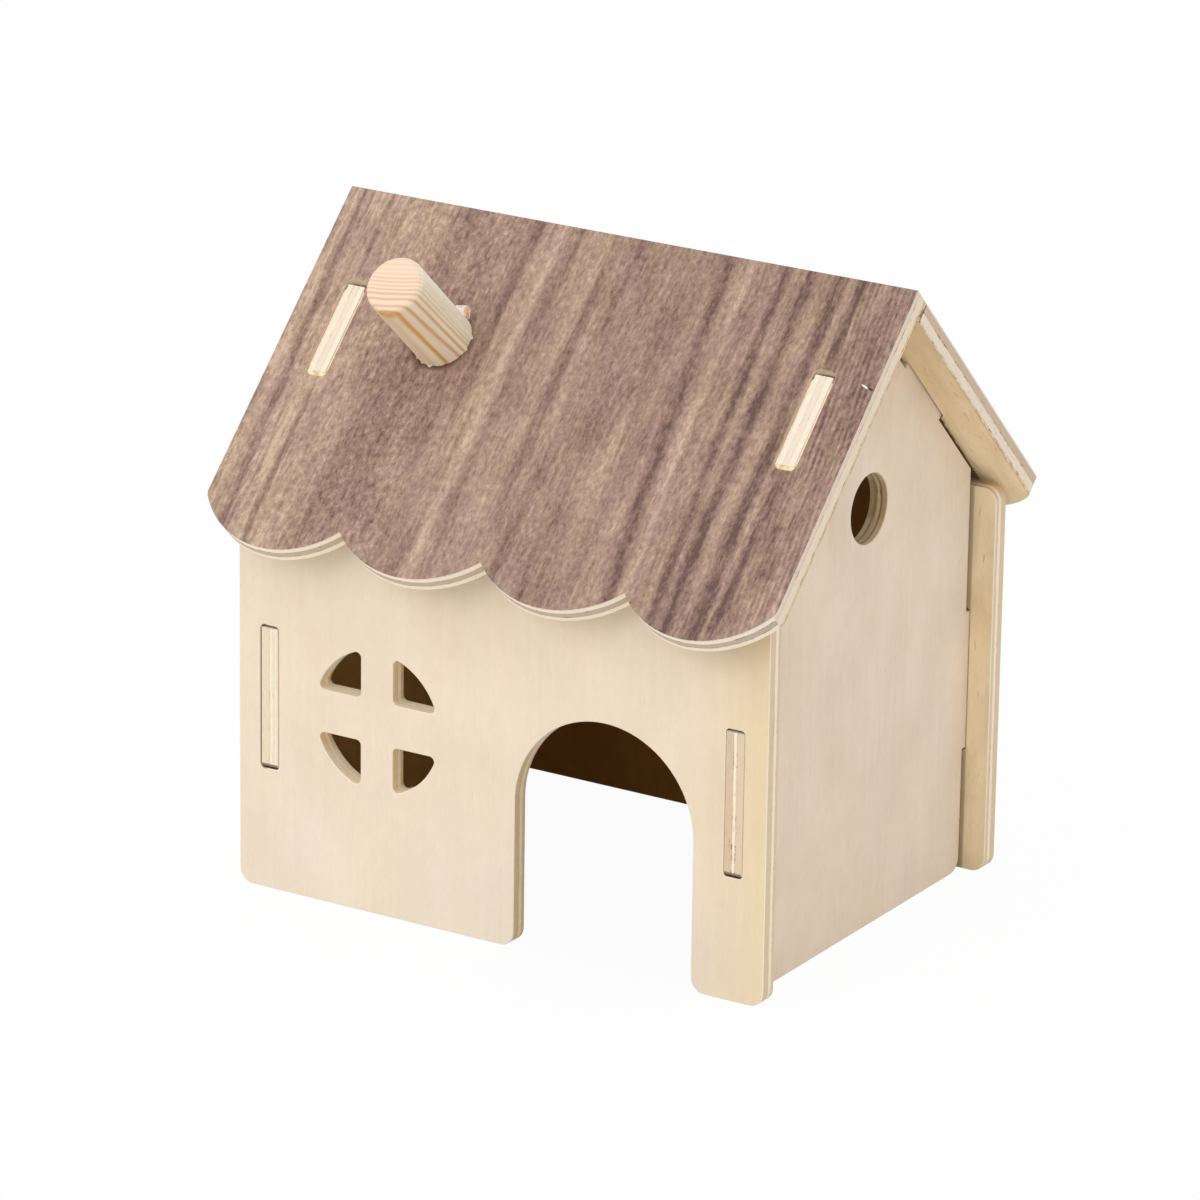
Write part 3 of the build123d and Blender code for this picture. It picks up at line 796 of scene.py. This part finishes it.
bare = stain(tree, patch, colour(255, 246, 238), colour(244, 192, 158))
tree.links.new(shade(tree, bare, sums(tree, "MULTIPLY_ADD", speckle, 0.25, 1.0)), wood.inputs["Base Color"])
relief = lay(tree, "Bump", {"Strength": 0.5, "Distance": 0.0001, "Height": speckle})
tree.links.new(relief.outputs[0], wood.inputs["Normal"])
tree.links.new(fade(tree, speckle, -0.3, 0.3, 0.7, 0.55), wood.inputs["Roughness"])
wood.inputs["Specular IOR Level"].default_value = 0.25
chip.data.materials.append(torn)
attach(chip, "root")

# Wood glue round the tabs in the two front slots of the roof: it fills the sides and the lower end of each
# slot a little below the walnut, and has dried yellow at the lower end.
glue_width, glue_length, glue_corner, glue_depth = 4.62 * mm, 20.1 * mm, 1.3 * mm, 1 * mm
outer_ridge = Vector((0, 0, 131.15 * mm))
glue_drop, glue_sink = 31.7 * mm, 0.18 * mm  # its middle down the slope from the ridge, and its level
yellow_from = -53.0  # where the yellow end starts, in mm down the roof's slope from abreast of the origin
glue = bpy.data.materials.new("slot_glue")
glue.use_nodes = True
tree = glue.node_tree
dried = tree.nodes["Principled BSDF"]
place = vectors(tree, "MULTIPLY", tree.nodes.new("ShaderNodeTexCoord").outputs["Object"], in_millimetres)
lumps = figure(tree, place, (0.8, 0.8, 0.8), (3, 1, 4), 3)
down = vectors(tree, "DOT_PRODUCT", place, down_roof)
low_end = fade(tree, sums(tree, "MULTIPLY_ADD", lumps, 2.0, down), yellow_from, yellow_from + 1)
pale = stain(tree, fade(tree, lumps, -0.15, 0.15), colour(255, 240, 216), colour(244, 220, 186))
yellow = stain(tree, fade(tree, lumps, -0.15, 0.15), colour(255, 236, 196), colour(222, 190, 134))
tree.links.new(stain(tree, low_end, pale, yellow), dried.inputs["Base Color"])
relief = lay(tree, "Bump", {"Strength": 0.5, "Distance": 0.0001, "Height": lumps})
tree.links.new(relief.outputs[0], dried.inputs["Normal"])
tree.links.new(fade(tree, lumps, -0.3, 0.3, 0.5, 0.35), dried.inputs["Roughness"])
for side, half in (("left", -1), ("right", 1)):
    middle = outer_ridge + Vector((half * slot_aside * mm, 0, 0)) + down_roof * glue_drop
    middle -= roof_out * glue_sink
    bpy.ops.object.select_all(action="DESELECT")
    bpy.ops.mesh.primitive_plane_add(size=1, location=middle, rotation=(radians(45), 0, 0))
    filling = bpy.context.object
    filling.name = side + "_slot_glue"
    filling.scale = (glue_width, glue_length, 1)
    bpy.ops.object.transform_apply(location=True, rotation=True, scale=True)
    bpy.ops.object.mode_set(mode="EDIT")
    bpy.ops.mesh.bevel(offset=glue_corner, segments=6, affect="VERTICES")
    bpy.ops.mesh.extrude_region_move(TRANSFORM_OT_translate={"value": -roof_out * glue_depth})
    bpy.ops.mesh.select_all(action="SELECT")
    bpy.ops.mesh.normals_make_consistent(inside=False)
    bpy.ops.object.mode_set(mode="OBJECT")
    bpy.ops.object.shade_smooth_by_angle(angle=radians(35))
    filling.data.materials.append(glue)
    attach(filling, "root")

# Studio: a large soft lamp in front, above and to the left, white walls all round, and a pale floor that
# keeps a faint shadow. The camera looks down at the right front corner through a long lens.
bpy.ops.mesh.primitive_plane_add(size=6)
floor = bpy.context.object
floor.name = "studio_floor"
paper = bpy.data.materials.new("studio_paper")
paper.use_nodes = True
tree = paper.node_tree
matt = tree.nodes["Principled BSDF"]
matt.inputs["Base Color"].default_value = colour(240, 239, 237)
matt.inputs["Roughness"].default_value = 0.9
matt.inputs["Specular IOR Level"].default_value = 0.0
glow = lay(tree, "Emission", {"Color": (1, 1, 1, 1), "Strength": 1.0})
rays = tree.nodes.new("ShaderNodeLightPath").outputs
bright = sums(tree, "MULTIPLY", rays["Is Camera Ray"], 0.96)
mixed = lay(tree, "MixShader", {0: bright, 1: matt.outputs[0], 2: glow.outputs[0]})
tree.links.new(mixed.outputs[0], tree.nodes["Material Output"].inputs["Surface"])
floor.data.materials.append(paper)

world = bpy.data.worlds.new("studio_walls")
bpy.context.scene.world = world
world.use_nodes = True
tree = world.node_tree
rays = tree.nodes.new("ShaderNodeLightPath").outputs
mirrored = sums(tree, "MAXIMUM", rays["Is Glossy Ray"], rays["Is Transmission Ray"])
seen = sums(tree, "MAXIMUM", rays["Is Camera Ray"], mirrored)
tree.links.new(fade(tree, seen, 0, 1, 0.87, 1.0), tree.nodes["Background"].inputs["Strength"])
tree.nodes["Background"].inputs["Color"].default_value = (1, 1, 1, 1)

lamp_place, lamp_target = Vector((-0.5, -1.2, 0.8)), Vector((0, 0, 0.06))
bpy.ops.object.light_add(type="AREA", location=lamp_place)
lamp = bpy.context.object
lamp.name = "key_lamp"
lamp.rotation_euler = (lamp_target - lamp_place).to_track_quat("-Z", "Y").to_euler()
lamp.data.size = 0.9
lamp.data.energy = 4.8

aim, camera_distance = Vector((-5.26, 0.0, 56.37)) * mm, 1379.96 * mm
to_the_right, downwards, tilt = radians(31.762), radians(18.881), radians(0.844)
turn = Matrix.Rotation(to_the_right, 4, "Z") @ Matrix.Rotation(radians(90) - downwards, 4, "X")
turn = turn @ Matrix.Rotation(tilt, 4, "Z")
bpy.ops.object.camera_add()
camera = bpy.context.object
camera.matrix_world = Matrix.Translation(aim) @ turn @ Matrix.Translation((0, 0, camera_distance))
camera.data.sensor_width = 36
camera.data.lens = 211.16
camera.data.clip_end = 20
bpy.context.scene.camera = camera
bpy.context.scene.view_settings.view_transform = "Standard"
